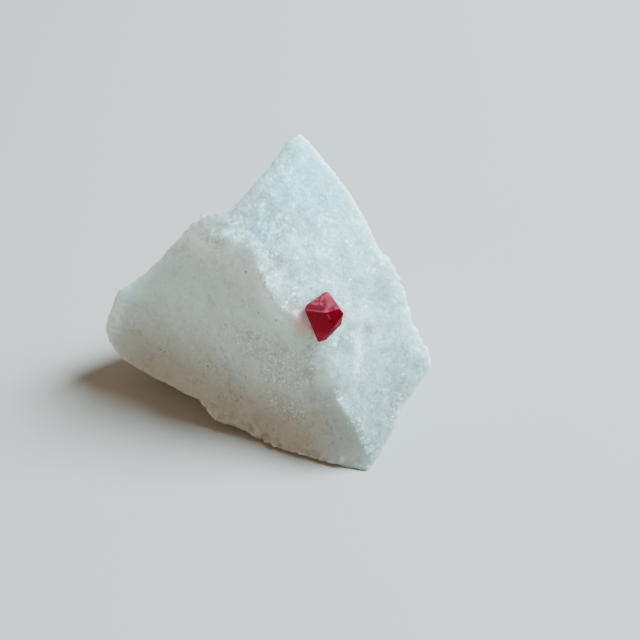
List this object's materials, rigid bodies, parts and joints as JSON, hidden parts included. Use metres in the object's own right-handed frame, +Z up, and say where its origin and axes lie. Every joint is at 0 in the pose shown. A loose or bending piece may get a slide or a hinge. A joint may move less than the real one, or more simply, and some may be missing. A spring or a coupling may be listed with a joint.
{
  "type": "spinel crystal on milky quartz matrix",
  "caption": "Mineral specimen: a small deep red octahedral spinel crystal set in a broken chunk of sugary milky white quartz, free-standing on its flat underside.",
  "frame": {"origin": "middle of the bounding box, on the surface it rests on", "axes": "+Z up; the show side with the crystal faces -Y; the long left end points to -X"},
  "size_m": [0.029, 0.0218, 0.0246],
  "materials": {
    "quartz": "broken, sugary and slightly translucent milky white",
    "spinel": "clear deep red with bright lower faces and a frosted top"
  },
  "bodies": {
    "root": {"quartz_matrix": "quartz", "spinel_crystal": "spinel"}
  },
  "joints": []
}
